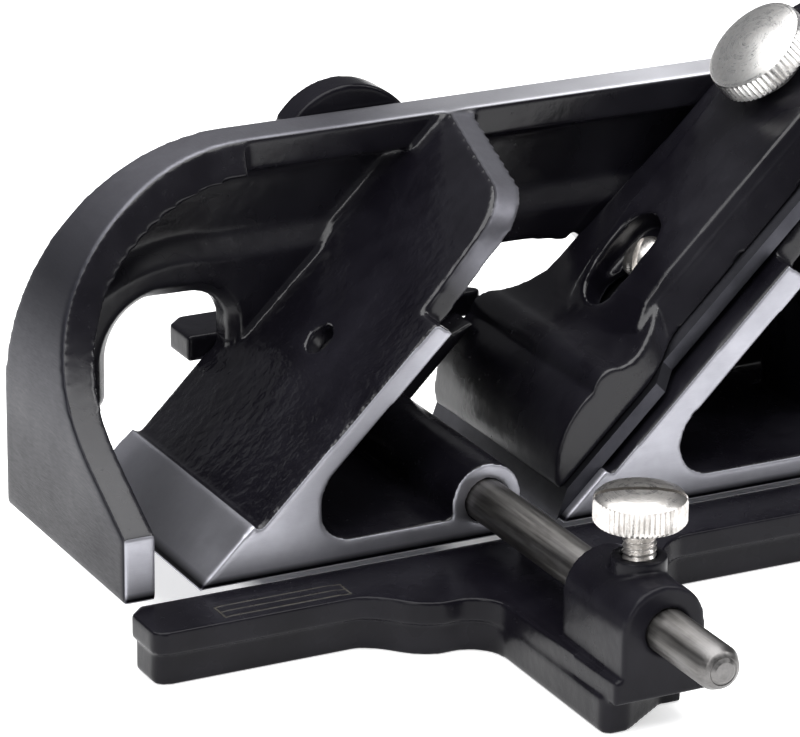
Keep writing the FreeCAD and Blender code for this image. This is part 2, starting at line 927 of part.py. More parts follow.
def fence():
    root = -HALF - D.side_gap
    near = root - D.fence_width
    toe = -D.toe_reach
    arm_side = D.arm_toe_side
    arm_end = -D.arch_near
    square_end = [(-arm_side + 0.5, arm_end), (D.arm_heel_side, arm_end)]
    cut_back_end = [
        (-arm_side, arm_end + 3.4, 1.6),
        (-arm_side + 1.6, arm_end + 1.8),
        (-5, arm_end + 1.8, 2.6),
        (-3.6, arm_end + 2.4),
        (3, arm_end + 6.9),
        (D.arm_heel_side, arm_end + 6.9),
    ]
    upper = plate("fence_upper", fence_outline(toe, near, square_end), -D.fence_tier, -D.fence_top)
    lower = plate("fence_lower", fence_outline(toe + 0.6, near + 1, cut_back_end),
                  -D.fence_bottom, -D.fence_tier)
    arch = slab("fence_arch", arch_outline(), -D.arch_near, -D.arch_far)
    collar = rod("fence_collar", 3.6, (0, -D.clamp_reach, D.rod_height), "+Z", 7.6)
    label = plate("fence_panel", [
        (toe + 11, root - 3.4),
        (toe + 27, root - 3.4),
        (toe + 27, root - 8.4),
        (toe + 11, root - 8.4),
    ], -D.fence_top - 0.1, -D.fence_top + 0.12)
    solid = fused("fence_solid", [upper, lower, arch, collar, label])
    bore = rod("fence_bore", D.rod_radius + D.bore_gap, (0, -D.arch_near - 1, D.rod_height), "+Y", 20)
    thread = rod("fence_thread", 2.3, (0, -D.clamp_reach, D.rod_height), "+Z", 12)
    return cut("fence", solid, [bore, thread])


def fence_rod():
    radius = D.rod_radius
    length = D.rod_end + 11
    return turned("fence_rod", [
        (0, 0),
        (radius, 0),
        (radius, length - 1.7),
        (2.5, length - 0.8),
        (1.3, length),
        (0, length),
    ], None, (0, 11, D.rod_height), Rotation(Vector(1, 0, 0), 90))


def fence_thumbscrew():
    low = D.rod_radius + 0.05
    body = turned("fence_thumbscrew", [
        (0, low),
        (2.25, low),
        (2.25, 11.4),
        (3.2, 11.9),
        (5.7, 11.9),
        (6.1, 12.3),
        (6.1, 15.2),
        (5.5, 15.8, 30),
        (0, 16.5),
    ], None, (0, -D.clamp_reach, D.rod_height))
    screw_slot(body, 17.5, 2.9, 8, 0.55)
    return body


# ---------------------------------------------------------------- far side group
def depth_stop():
    side = HALF + 0.15
    low = D.stop_foot_low
    centre = -D.stop_x
    half = D.stop_half
    shoulder = D.stop_top - 4.6
    stem = slab("stop_stem", [
        (centre - half, low + 1),
        (centre + half, low + 1),
        (centre + half, shoulder, 10.8),
        (centre - half, shoulder),
    ], side, side + D.stop_thick)
    heel = D.stop_foot_heel
    foot = plate("stop_foot", [
        (centre - 24.4, side),
        (centre + heel, side, 1.2),
        (centre + heel, side + 2.4),
        (centre + heel, side + 6.4),
        (centre + heel - 2.4, side + 8.8),
        (centre - 22, side + 8.8),
        (centre - 24.4, side + 6.4),
    ], low, low + D.stop_foot_thick)
    solid = fused("stop_solid", [stem, foot])
    slot = slab("stop_slot", [
        (centre - 2.7, 25.4, 2.7),
        (centre + 2.7, 25.4),
        (centre + 2.7, 45.6, 2.7),
        (centre - 2.7, 45.6),
    ], side - 1, side + D.stop_thick + 1)
    return cut("depth_stop", solid, [slot])


def depth_stop_screw():
    body = turned("depth_stop_screw", [
        (0, 0),
        (2.4, 0),
        (2.4, 10.6),
        (6.4, 10.6),
        (6.8, 11),
        (6.8, 14.6),
        (6.2, 15.2, 30),
        (0, 15.9),
    ], None, (-D.stop_x, 14.4, D.stop_screw_height), Rotation(Vector(1, 0, 0), -90))
    screw_slot(body, 17, 2.9, 8, 0.6)
    return body


def spur():
    """Three nicker points about a hub."""
    body = doc.addObject("PartDesign::Body", "spur")
    points = []
    for lobe in range(3):
        middle = math.radians(120 * lobe - 90)
        for turn, reach, arc in ((-60, 0.5, None), (-9, 1.0, 6.7), (9, 1.0, None)):
            angle = middle + math.radians(turn)
            corner = (D.spur_radius * (reach * math.cos(angle)), D.spur_radius * (reach * math.sin(angle)))
            points.append(corner if arc is None else corner + (arc,))
    blank = draw(body, "XY_Plane", 0, points)
    bound_feature(body, "Pad", blank, 1.5)
    hole = draw_circles(body, "XY_Plane", 3, [(0, 0, 1.75)])
    bound_feature(body, "Pocket", hole, 5)
    seat = draw_circles(body, "XY_Plane", 3, [(0, 0, 2.65)])
    bound_feature(body, "Pocket", seat, 2.5)
    body.Placement = Placement(Vector(-SIZES["spur_x"], HALF.value - 1.7, SIZES["spur_height"]),
                               Rotation(Vector(1, 0, 0), -90))
    return body


def spur_screw():
    body = turned("spur_screw", [
        (0, -3.4),
        (1.6, -3.4),
        (1.6, 1.1),
        (2.5, 1.1),
        (2.5, 1.6),
        (0, 1.6),
    ], None, (-D.spur_x, HALF - 1.7, D.spur_height), Rotation(Vector(1, 0, 0), -90))
    screw_slot(body, 2, 0.8, 4, 0.35)
    return body


PIECES = [
    plane_body, cutter, lever_cap, lever_cap_knob, lever_cap_screw, adjusting_lever,
    adjusting_lever_pivot, fence, fence_rod, fence_thumbscrew, depth_stop,
    depth_stop_screw, spur, spur_screw,
]


def export():
    made = [(make.__name__, make()) for make in PIECES]
    doc.recompute()
    for part in doc.Objects:
        if "Invalid" in part.State or "Error" in part.State:
            raise RuntimeError("%s failed: %s" % (part.Name, part.State))
    os.makedirs("parts", exist_ok=True)
    for name, part in made:
        part.Label = name
        shape = part.Shape
        if shape.isNull() or not shape.isValid() or shape.Volume <= 0:
            raise RuntimeError("%s has no valid solid" % name)
        shape.exportStep("parts/%s.step" % name)
        box = shape.BoundBox
        print("%-24s %d solid(s) %10.1f mm3  x %.1f..%.1f y %.1f..%.1f z %.1f..%.1f" % (
            name, len(shape.Solids), shape.Volume, box.XMin, box.XMax,
            box.YMin, box.YMax, box.ZMin, box.ZMax))


export()
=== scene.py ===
import math

import bpy
from mathutils import Matrix, Vector

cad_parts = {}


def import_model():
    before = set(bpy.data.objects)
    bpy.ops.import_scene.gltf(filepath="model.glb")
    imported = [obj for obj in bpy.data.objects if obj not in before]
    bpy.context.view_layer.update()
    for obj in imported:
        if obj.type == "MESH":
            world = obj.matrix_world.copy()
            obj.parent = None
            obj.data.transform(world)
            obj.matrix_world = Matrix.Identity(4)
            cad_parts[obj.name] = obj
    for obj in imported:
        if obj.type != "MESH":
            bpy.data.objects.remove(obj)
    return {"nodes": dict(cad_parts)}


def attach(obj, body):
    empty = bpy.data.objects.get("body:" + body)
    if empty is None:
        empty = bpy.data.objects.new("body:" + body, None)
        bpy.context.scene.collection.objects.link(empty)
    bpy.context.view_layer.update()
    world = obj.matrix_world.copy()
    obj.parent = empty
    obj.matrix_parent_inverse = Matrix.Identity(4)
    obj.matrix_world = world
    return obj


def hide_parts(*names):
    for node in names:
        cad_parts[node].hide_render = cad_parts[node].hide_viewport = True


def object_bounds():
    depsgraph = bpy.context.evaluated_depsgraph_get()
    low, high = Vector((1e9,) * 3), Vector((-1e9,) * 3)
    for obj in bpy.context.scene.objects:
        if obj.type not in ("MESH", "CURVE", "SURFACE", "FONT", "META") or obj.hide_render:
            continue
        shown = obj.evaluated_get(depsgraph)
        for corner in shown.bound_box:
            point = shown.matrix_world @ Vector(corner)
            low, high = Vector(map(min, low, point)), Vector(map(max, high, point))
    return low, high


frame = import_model()
cad_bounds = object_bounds()
nodes = frame["nodes"]

# Named lengths are in millimetres. The floor, the lamps and the camera are placed in metres.
MM = 0.001
QUARTER = math.radians(90)
BED_SLOPE = math.radians(44)
BED_TURN = (0, -BED_SLOPE, 0)
MAIN_BED_X = 13.1
NOSE_BED_X = -40.5
HOOP_CENTRE_X = -20.2
HOOP_CENTRE_Z = 16.5
HOOP_RADIUS = 32.5
BODY_HALF = 19.75
FLANGE_TOP = 48.9
ROD_HEIGHT = 5.4
CLAMP_PLACE = (0, -60.4, ROD_HEIGHT)
STOP_SCREW_PLACE = (-1, 14.4, 30)
SPUR_SCREW_PLACE = (-12.2, 18.05, 6)
KNOB_REACH = 66.5
CAP_SCREW_REACH = 35
LEVER_PIVOT_REACH = 62
PANEL_X = (-42.2, -24.3)
PANEL_Y = (-28.2, -24.8)
FLOOR_GLOW = 0.6
CAMERA_PLACE = (-0.27919, -0.54254, 0.24414)
CAMERA_ANGLES = (-26.97, 20.38, 0.48)  # azimuth, height and roll, in degrees


# ------------------------------------------------------------------ node helpers
class Shader:
    """One material and short calls that add nodes to it."""

    def __init__(self, name):
        self.made = bpy.data.materials.new(name)
        self.made.use_nodes = True
        self.nodes = self.made.node_tree.nodes
        self.links = self.made.node_tree.links
        self.surface = self.nodes["Principled BSDF"]
        place = self.nodes.new("ShaderNodeTexCoord")
        scale = self.nodes.new("ShaderNodeVectorMath")
        scale.operation = "SCALE"
        scale.inputs["Scale"].default_value = 1000
        self.links.new(place.outputs["Object"], scale.inputs[0])
        self.millimetres = scale.outputs["Vector"]
        split = self.nodes.new("ShaderNodeSeparateXYZ")
        self.links.new(self.millimetres, split.inputs[0])
        self.x, self.y, self.z = split.outputs

    def put(self, socket, value):
        if hasattr(value, "is_output"):
            self.links.new(value, socket)
        else:
            socket.default_value = value

    def math(self, operation, *values, clamp=False):
        node = self.nodes.new("ShaderNodeMath")
        node.operation = operation
        node.use_clamp = clamp
        for socket, value in zip(node.inputs, values):
            self.put(socket, value)
        return node.outputs[0]

    def step(self, value, low, high):
        """0 below low, 1 above high, even between them."""
        return self.remap(value, low, high, 0, 1)

    def fall(self, value, low, high):
        """1 below low, 0 above high, even between them."""
        return self.remap(value, low, high, 1, 0)

    def remap(self, value, low, high, first, last):
        node = self.nodes.new("ShaderNodeMapRange")
        for socket, setting in zip(node.inputs, (value, low, high, first, last)):
            self.put(socket, setting)
        return node.outputs["Result"]

    def both(self, *masks):
        total = masks[0]
        for mask in masks[1:]:
            total = self.math("MULTIPLY", total, mask)
        return total

    def either(self, *masks):
        total = masks[0]
        for mask in masks[1:]:
            total = self.math("MAXIMUM", total, mask)
        return total

    def stretched(self, scale, origin=(0, 0, 0), turn=(0, 0, 0)):
        """Millimetre coordinates, moved, turned and scaled along each axis."""
        node = self.nodes.new("ShaderNodeMapping")
        node.vector_type = "TEXTURE"
        node.inputs["Location"].default_value = origin
        node.inputs["Rotation"].default_value = turn
        node.inputs["Scale"].default_value = [1 / s for s in scale]
        self.links.new(self.millimetres, node.inputs["Vector"])
        return node.outputs["Vector"]

    def noise(self, scale, detail=3, roughness=0.55, vector=None, distortion=0):
        node = self.nodes.new("ShaderNodeTexNoise")
        node.inputs["Scale"].default_value = scale
        node.inputs["Detail"].default_value = detail
        node.inputs["Roughness"].default_value = roughness
        node.inputs["Distortion"].default_value = distortion
        self.links.new(vector or self.millimetres, node.inputs["Vector"])
        return node.outputs["Fac"]

    def mix(self, factor, first, last):
        node = self.nodes.new("ShaderNodeMix")
        node.data_type = "RGBA"
        self.put(node.inputs["Factor"], factor)
        self.put(node.inputs["A"], first)
        self.put(node.inputs["B"], last)
        return node.outputs["Result"]

    def blend(self, factor, first, last):
        """A number that goes from first to last."""
        node = self.nodes.new("ShaderNodeMix")
        self.put(node.inputs["Factor"], factor)
        self.put(node.inputs["A"], first)
        self.put(node.inputs["B"], last)
        return node.outputs["Result"]

    def bump(self, height, depth, strength=1):
        node = self.nodes.new("ShaderNodeBump")
        node.inputs["Strength"].default_value = strength
        node.inputs["Distance"].default_value = depth * MM
        self.links.new(height, node.inputs["Height"])
        return node.outputs["Normal"]

    def finish(self, colour, roughness, metallic=0.0, normal=None, specular=0.5):
        for name, value in (("Base Color", colour), ("Roughness", roughness), ("Metallic", metallic)):
            self.put(self.surface.inputs[name], value)
        self.surface.inputs["Specular IOR Level"].default_value = specular
        if normal is not None:
            self.links.new(normal, self.surface.inputs["Normal"])
        return self.made


def bed_fields(s, bed_x):
    """Distances up the slope and out of a bed, in millimetres."""
    x = s.math("SUBTRACT", s.x, bed_x)
    rise, run = math.sin(BED_SLOPE), math.cos(BED_SLOPE)
    along = s.math("ADD", s.math("MULTIPLY", x, run), s.math("MULTIPLY", s.z, rise))
    out = s.math("SUBTRACT", s.math("MULTIPLY", s.z, run), s.math("MULTIPLY", x, rise))
    return along, out


# ------------------------------------------------------------------ materials
BLACK = (0.0035, 0.0031, 0.0050, 1)
# Dusty black enamel, also used as painted shade low on the ground sides and on the toe face.
BLACK_DUST_AND_SHADE = (0.010, 0.0095, 0.013, 1)
RUBBED = (0.045, 0.042, 0.035, 1)
BARE = (0.40, 0.40, 0.44, 1)
BARE_DARK = (0.33, 0.33, 0.365, 1)
SATIN = (0.16, 0.16, 0.18, 1)
SATIN_DARK = (0.10, 0.098, 0.112, 1)
SATIN_TOE = (0.030, 0.030, 0.038, 1)
# A painted sheen for the flange top.
SATIN_PAINTED_SHEEN = (0.70, 0.70, 0.74, 1)
IRON = (0.060, 0.060, 0.070, 1)
IRON_DARK = (0.030, 0.030, 0.036, 1)
ROD_DARK = (0.045, 0.042, 0.040, 1)
ROD_STREAK = (0.12, 0.115, 0.11, 1)
ROD_CLEAN = (0.24, 0.235, 0.235, 1)
PLATE = (0.62, 0.60, 0.58, 1)
PLATE_DARK = (0.36, 0.34, 0.32, 1)
KNOB_PLATE = (0.95, 0.94, 0.92, 1)
KNOB_PLATE_DARK = (0.62, 0.60, 0.58, 1)
FENCE_GLOSS = 0.12
CAP_GLOSS = 0.35
BUMP_DEPTH = 0.25


def enamel_parts(s):
    """Colour, roughness and height of thick glossy black enamel over a casting."""
    cloud = s.noise(0.05, 4, 0.6)
    peel = s.noise(0.9, 3, 0.6)
    swell = s.noise(0.16, 2)
    grit = s.step(s.noise(0.55, 5, 0.75), 0.62, 0.75)
    colour = s.mix(s.step(cloud, 0.4, 0.7), BLACK, BLACK_DUST_AND_SHADE)
    roughness = s.math("ADD", s.remap(cloud, 0.3, 0.7, 0.20, 0.34), s.math("MULTIPLY", grit, 0.12))
    height = s.math("ADD", s.math("MULTIPLY", peel, 0.18), swell)
    height = s.math("ADD", height, s.math("MULTIPLY", grit, 0.12))
    return colour, roughness, height


def ground_parts(s, light, dark, scale=(0.6, 9, 9), origin=(0, 0, 0), turn=(0, 0, 0)):
    """Colour, roughness and height of a ground face with fine straight lay."""
    lay = s.noise(1.0, 4, 0.7, s.stretched(scale, origin, turn))
    cloud = s.noise(0.08, 5, 0.65)
    colour = s.mix(s.step(cloud, 0.35, 0.7), light, dark)
    roughness = s.math("ADD", s.remap(lay, 0.3, 0.7, 0.30, 0.46), s.remap(cloud, 0.3, 0.7, 0, 0.1))
    return colour, roughness, lay


def enamel(name, gloss):
    s = Shader(name)
    colour, roughness, height = enamel_parts(s)
    return s.finish(colour, roughness, 0, s.bump(height, BUMP_DEPTH, 0.5), gloss)


def bed_pad(s, along, out, low, high):
    """The machined pad at the foot of a bed, which fades out between two reaches up the slope."""
    slab = s.both(s.step(out, 0.8, 0.95), s.fall(out, 1.5, 1.6))
    return s.both(slab, s.fall(along, low, high), s.step(along, -2.5, -2.3))


def toe_face_mask(s):
    """The outside of the hoop, from its middle to the toe."""
    hoop_x = s.math("SUBTRACT", s.x, HOOP_CENTRE_X)
    hoop_z = s.math("MAXIMUM", s.math("SUBTRACT", s.z, HOOP_CENTRE_Z), 0)
    squares = s.math("ADD", s.math("MULTIPLY", hoop_x, hoop_x), s.math("MULTIPLY", hoop_z, hoop_z))
    outside = s.step(s.math("SQRT", squares), HOOP_RADIUS - 0.3, HOOP_RADIUS - 0.15)
    return s.both(outside, s.fall(s.x, HOOP_CENTRE_X, HOOP_CENTRE_X + 1))


def casting_finish():
    """Black enamel, light ground faces, and satin on the toe, the flange and the fin's edge, with painted
    shade low on the ground sides and on the toe, and a painted sheen on the flange.
    """
    s = Shader("casting_finish")
    colour, roughness, height = enamel_parts(s)
    rough_cast = s.noise(0.6, 2, 0.5)
    along, out = bed_fields(s, NOSE_BED_X)
    bed = s.both(s.step(out, -0.6, -0.2), s.step(along, 9, 11), s.fall(out, 0.6, 1.0))
    sand_marks = s.math("MULTIPLY", bed, s.remap(along, 24, 50, 2.4, 0.8))
    height = s.math("ADD", height, s.math("MULTIPLY", sand_marks, rough_cast))
    roughness = s.blend(bed, roughness, 0.22)

    side = s.step(s.math("ABSOLUTE", s.y), BODY_HALF - 0.22, BODY_HALF - 0.14)
    sole = s.fall(s.z, 0.12, 0.2)
    main_along, main_out = bed_fields(s, MAIN_BED_X)
    nose_pad = bed_pad(s, along, out, 9.8, 9.95)
    main_pad = bed_pad(s, main_along, main_out, 8, 8.2)
    ground = s.either(side, sole, nose_pad, main_pad)
    bare, bare_roughness, lay = ground_parts(s, BARE, BARE_DARK)
    # Painted shade: the ground faces turn near black in a band from 0.2 to 1.5 mm above the sole.
    darkening = s.both(s.step(s.z, 0.2, 0.3), s.fall(s.z, 0.6, 1.5))
    bare = s.mix(darkening, bare, BLACK_DUST_AND_SHADE)

    toe_face = toe_face_mask(s)
    flange = s.both(s.step(s.z, FLANGE_TOP - 0.18, FLANGE_TOP - 0.05), s.step(s.y, 7.5, 8))
    fin = s.both(s.step(out, -3.7, -3.5), s.fall(out, -0.6, -0.3))
    fin_edge = s.both(fin, s.step(along, 50, 56), s.fall(s.y, 12, 13))
    satin_mask = s.either(toe_face, flange, fin_edge)
    satin, satin_roughness, satin_lay = ground_parts(s, SATIN, SATIN_DARK, (9, 0.6, 9))
    # Painted shade and sheen on the toe face: it stays satin grey at its top, then darkens to SATIN_TOE and
    # to near black towards the bottom.
    toe_painted_shade = s.mix(s.step(s.z, 4, 26), BLACK_DUST_AND_SHADE, SATIN_TOE)
    satin = s.mix(s.both(toe_face, s.fall(s.z, 34, 48)), satin, toe_painted_shade)
    # Painted sheen: from x = -5 to 45 mm the flange top turns bright grey, standing in for light reflected
    # along it.
    satin = s.mix(s.both(flange, s.step(s.x, -5, 45)), satin, SATIN_PAINTED_SHEEN)

    colour = s.mix(satin_mask, s.mix(ground, colour, bare), satin)
    roughness = s.blend(satin_mask, s.blend(ground, roughness, bare_roughness), satin_roughness)
    metallic = s.math("MAXIMUM", ground, s.math("MULTIPLY", satin_mask, 0.85))
    bare_height = s.math("MULTIPLY", s.either(lay, satin_lay), 0.06)
    height = s.blend(s.either(ground, satin_mask), height, bare_height)
    return s.finish(colour, roughness, metallic, s.bump(height, BUMP_DEPTH, 0.5), 0.35)


def fence_finish():
    """Enamel with the thin raised frame of a blank panel near the toe, rubbed along its lines."""
    s = Shader("fence_finish")
    colour, roughness, height = enamel_parts(s)

    def line(value, place):
        return s.fall(s.math("ABSOLUTE", s.math("SUBTRACT", value, place)), 0.08, 0.2)

    def within(value, span):
        return s.both(s.step(value, span[0] - 0.2, span[0]), s.fall(value, span[1], span[1] + 0.2))

    row_places = (PANEL_Y[0], sum(PANEL_Y) / 2, PANEL_Y[1])
    rows = s.both(within(s.x, PANEL_X), s.either(*[line(s.y, place) for place in row_places]))
    ends = s.both(within(s.y, PANEL_Y), s.either(*[line(s.x, place) for place in PANEL_X]))
    frame_lines = s.both(s.either(rows, ends), s.step(s.z, -0.7, -0.5))
    worn = s.both(frame_lines, s.remap(s.noise(0.5, 4, 0.7), 0.35, 0.6, 0.35, 1))
    colour = s.mix(worn, colour, RUBBED)
    height = s.math("ADD", height, s.math("MULTIPLY", frame_lines, 0.5))
    return s.finish(colour, roughness, 0, s.bump(height, BUMP_DEPTH, 0.5), FENCE_GLOSS)


def tool_steel():
    """Dark ground steel with its lay across the iron."""
    s = Shader("tool_steel")
    colour, roughness, lay = ground_parts(s, IRON, IRON_DARK, (9, 0.5, 9), (MAIN_BED_X, 0, 0), BED_TURN)
    return s.finish(colour, roughness, 1, s.bump(lay, 0.02, 0.5))


def rod_steel():
    """A rod gone dark along its length, a little cleaner where the clamp has rubbed it."""
    s = Shader("rod_steel")
    streak = s.noise(1, 4, 0.65, s.stretched((1.6, 0.05, 1.6)))
    stain = s.noise(0.16, 4, 0.6, s.stretched((1, 0.5, 1)))
    rubbed = s.math("MULTIPLY", s.fall(s.y, -67, -60), 0.12)
    clean = s.math("ADD", rubbed, s.remap(stain, 0.35, 0.7, 0.0, 0.45), clamp=True)
    dark = s.mix(s.step(streak, 0.35, 0.65), ROD_DARK, ROD_STREAK)
    colour = s.mix(clean, dark, ROD_CLEAN)
    roughness = s.blend(clean, s.remap(streak, 0.3, 0.7, 0.36, 0.55), s.remap(streak, 0.3, 0.7, 0.22, 0.34))
    return s.finish(colour, roughness, 1, s.bump(streak, 0.03, 0.5))


def turned_metal(name, origin, turn, light=PLATE, dark=PLATE_DARK):
    """Bright plated metal with the rings that turning leaves."""
    s = Shader(name)
    local = s.stretched((1, 1, 1), origin, turn)
    split = s.nodes.new("ShaderNodeSeparateXYZ")
    s.links.new(local, split.inputs[0])
    across, along, height_out = split.outputs
    squares = s.math("ADD", s.math("MULTIPLY", across, across), s.math("MULTIPLY", along, along))
    join = s.nodes.new("ShaderNodeCombineXYZ")
    s.links.new(s.math("SQRT", squares), join.inputs[0])
    s.links.new(s.math("MULTIPLY", height_out, 0.5), join.inputs[2])
    rings = s.noise(7, 3, 0.7, join.outputs[0])
    darkening = s.noise(0.7, 4, 0.6)
    colour = s.mix(s.step(darkening, 0.5, 0.75), light, dark)
    colour = s.mix(s.remap(rings, 0.35, 0.65, 0, 0.35), colour, dark)
    roughness = s.math("ADD", s.remap(rings, 0.3, 0.7, 0.2, 0.36), s.remap(darkening, 0.4, 0.7, 0, 0.1))
    return s.finish(colour, roughness, 1, s.bump(rings, 0.03, 0.6))


# ------------------------------------------------------------------ geometry
def bed_matrix(along, across, out):
    """Axes of a bed: x up the slope, y across, z out of it."""
    return (Matrix.Translation((MAIN_BED_X, 0, 0)) @ Matrix.Rotation(-BED_SLOPE, 4, "Y")
            @ Matrix.Translation((along, across, out)))


def link(name, mesh, body, stands_for, finish):
    piece = bpy.data.objects.new(name, mesh)
    bpy.context.scene.collection.objects.link(piece)
    mesh.materials.clear()
    mesh.materials.append(finish)
    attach(piece, body)
    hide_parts(stands_for)


def settled(piece):
    """The mesh of an object with its modifiers applied."""
    bpy.context.view_layer.update()
    graph = bpy.context.evaluated_depsgraph_get()
    mesh = bpy.data.meshes.new_from_object(piece.evaluated_get(graph))
    bpy.data.objects.remove(piece)
    return mesh


def recast(node, voxel, passes):
    """A copy of a CAD node's mesh with the rounded edges of a painted casting."""
    rough = bpy.data.objects.new("rough", nodes[node].data.copy())
    bpy.context.scene.collection.objects.link(rough)
    remesh = rough.modifiers.new("remesh", "REMESH")
    remesh.mode = "VOXEL"
    remesh.voxel_size = voxel * MM
    remesh.use_smooth_shade = True
    smooth = rough.modifiers.new("smooth", "SMOOTH")
    smooth.factor = 0.5
    smooth.iterations = passes
    return settled(rough)


def lathe(profile, matrix, sides=96, knurl=None, slot=None, thread=None):
    """A turned solid from (radius, height) corners that start and end on the axis, lowest first.

    knurl is (low, high, teeth, depth) and cuts straight grooves between two
    heights; slot is (half width, bottom height); thread is (low, high, pitch, depth).
    """
    points = []
    for (r0, z0), (r1, z1) in zip(profile, profile[1:]):
        threaded = thread and thread[:2] == (z0, z1)
        count = round((z1 - z0) / thread[2] * 10) if threaded else 1
        points += [(r0 + (r1 - r0) * i / count, z0 + (z1 - z0) * i / count) for i in range(count)]
    points.append(profile[-1])
    vertices, faces = [], []
    rings = points[1:-1]
    vertices.append((0, 0, points[0][1]))
    for radius, height in rings:
        for side in range(sides):
            angle = 2 * math.pi * side / sides
            r = radius
            if knurl and knurl[0] <= height <= knurl[1]:
                phase = (side * knurl[2] / sides) % 1
                r -= knurl[3] * (1 - abs(2 * phase - 1)) ** 0.8
            if thread and thread[0] < height < thread[1]:
                turn = (height / thread[2] - side / sides) % 1
                r -= thread[3] * abs(2 * turn - 1)
            vertices.append((r * math.cos(angle), r * math.sin(angle), height))
    vertices.append((0, 0, points[-1][1]))
    last = len(vertices) - 1
    for side in range(sides):
        following = (side + 1) % sides
        faces.append((0, 1 + following, 1 + side))
        for ring in range(len(rings) - 1):
            a = 1 + ring * sides
            b = a + sides
            faces.append((a + side, a + following, b + following, b + side))
        a = 1 + (len(rings) - 1) * sides
        faces.append((a + side, a + following, last))
    mesh = bpy.data.meshes.new("turned")
    mesh.from_pydata(vertices, [], faces)
    if slot:
        mesh = slotted(mesh, slot, max(r for r, _ in profile) + 1, max(z for _, z in profile) + 1)
    mesh.transform(Matrix.Scale(MM, 4) @ matrix)
    mesh.shade_smooth()
    mesh.set_sharp_from_angle(angle=math.radians(32))
    return mesh


def slotted(mesh, slot, reach, top):
    half, bottom = slot
    corners = [(x, y, z) for x in (-reach, reach) for y in (-half, half) for z in (bottom, top)]
    faces = [(0, 1, 3, 2), (4, 6, 7, 5), (0, 4, 5, 1), (2, 3, 7, 6), (0, 2, 6, 4), (1, 5, 7, 3)]
    tool_mesh = bpy.data.meshes.new("slot_tool")
    tool_mesh.from_pydata(corners, [], faces)
    tool = bpy.data.objects.new("slot_tool", tool_mesh)
    blank = bpy.data.objects.new("slot_blank", mesh)
    for made in (tool, blank):
        bpy.context.scene.collection.objects.link(made)
    cut = blank.modifiers.new("slot", "BOOLEAN")
    cut.operation = "DIFFERENCE"
    cut.solver = "EXACT"
    cut.object = tool
    result = settled(blank)
    bpy.data.objects.remove(tool)
    return result


# ------------------------------------------------------------------ pieces
def castings():
    black = enamel("black_enamel", FENCE_GLOSS)
    cap_black = enamel("cap_black", CAP_GLOSS)
    for name, node, voxel, passes, body, finish, slot in (
            ("body_casting", "plane_body", 0.42, 8, "plane", casting_finish(), "enamelled_casting"),
            ("fence_casting", "fence", 0.33, 4, "fence_group", fence_finish(), "fence_enamel"),
            ("cap_casting", "lever_cap", 0.33, 5, "cap", cap_black, "cap_enamel"),
            ("stop_casting", "depth_stop", 0.33, 4, "stop", black, "stop_enamel"),
            ("lever_casting", "adjusting_lever", 0.25, 4, "lever", black, "lever_enamel")):
        link(name, recast(node, voxel, passes), body, node, finish)


def bed_metal(name, along, *tones):
    return turned_metal(name, tuple(bed_matrix(along, 0, 0).translation), BED_TURN, *tones)


def cap_knob():
    profile = [
        (0, 3.3), (2.5, 3.3), (2.5, 9.6), (5.0, 9.6), (5.2, 9.8), (5.2, 10.9), (6.7, 10.9), (7.3, 11.3),
        (7.5, 11.5), (7.5, 14.3), (7.3, 14.6), (6.7, 14.9), (4.5, 15.35), (2, 15.75), (0, 15.85),
    ]
    mesh = lathe(profile, bed_matrix(KNOB_REACH, 0, 0), 232, knurl=(11.2, 14.4, 58, 0.32))
    metal = bed_metal("plated_knob", KNOB_REACH, KNOB_PLATE, KNOB_PLATE_DARK)
    link("cap_knob_turned", mesh, "cap_knob", "lever_cap_knob", metal)


def cap_screw():
    profile = [
        (0, -4), (2.2, -4), (2.2, 5.5), (3.1, 5.5), (3.2, 5.6), (3.2, 6.1), (2.7, 6.6), (1.6, 7.05),
        (0, 7.25),
    ]
    place = bed_matrix(CAP_SCREW_REACH, 0, 0) @ Matrix.Rotation(math.radians(35), 4, "Z")
    metal = bed_metal("plated_cap_screw", CAP_SCREW_REACH)
    mesh = lathe(profile, place, 64, slot=(0.45, 6.3))
    link("cap_screw_turned", mesh, "cap_screw", "lever_cap_screw", metal)


def thumbscrew():
    profile = [
        (0, 3.1), (2.2, 3.1), (2.2, 11.3), (3.1, 11.9), (5.6, 11.9), (6.0, 12.3), (6.0, 15.0), (5.85, 15.3),
        (5.4, 15.75), (4, 16.15), (2, 16.4), (0, 16.45),
    ]
    place = Matrix.Translation(CLAMP_PLACE) @ Matrix.Rotation(math.radians(-27), 4, "Z")
    mesh = lathe(profile, place, 208, knurl=(12.1, 15.1, 52, 0.3), slot=(0.5, 14.4),
                 thread=(3.1, 11.3, 0.8, 0.35))
    metal = turned_metal("plated_thumbscrew", CLAMP_PLACE, (0, 0, 0))
    link("thumbscrew_turned", mesh, "fence_screw", "fence_thumbscrew", metal)


def stop_screw():
    profile = [
        (0, 0), (2.4, 0), (2.4, 10.6), (6.3, 10.6), (6.75, 11), (6.75, 14.3), (6.6, 14.7), (6.2, 15.1),
        (4, 15.6), (2, 15.8), (0, 15.85),
    ]
    place = Matrix.Translation(STOP_SCREW_PLACE) @ Matrix.Rotation(-QUARTER, 4, "X")
    mesh = lathe(profile, place, 224, knurl=(10.9, 14.4, 56, 0.3), slot=(0.55, 14))
    metal = turned_metal("plated_stop_screw", STOP_SCREW_PLACE, (-QUARTER, 0, 0))
    link("stop_screw_turned", mesh, "stop_screw", "depth_stop_screw", metal)


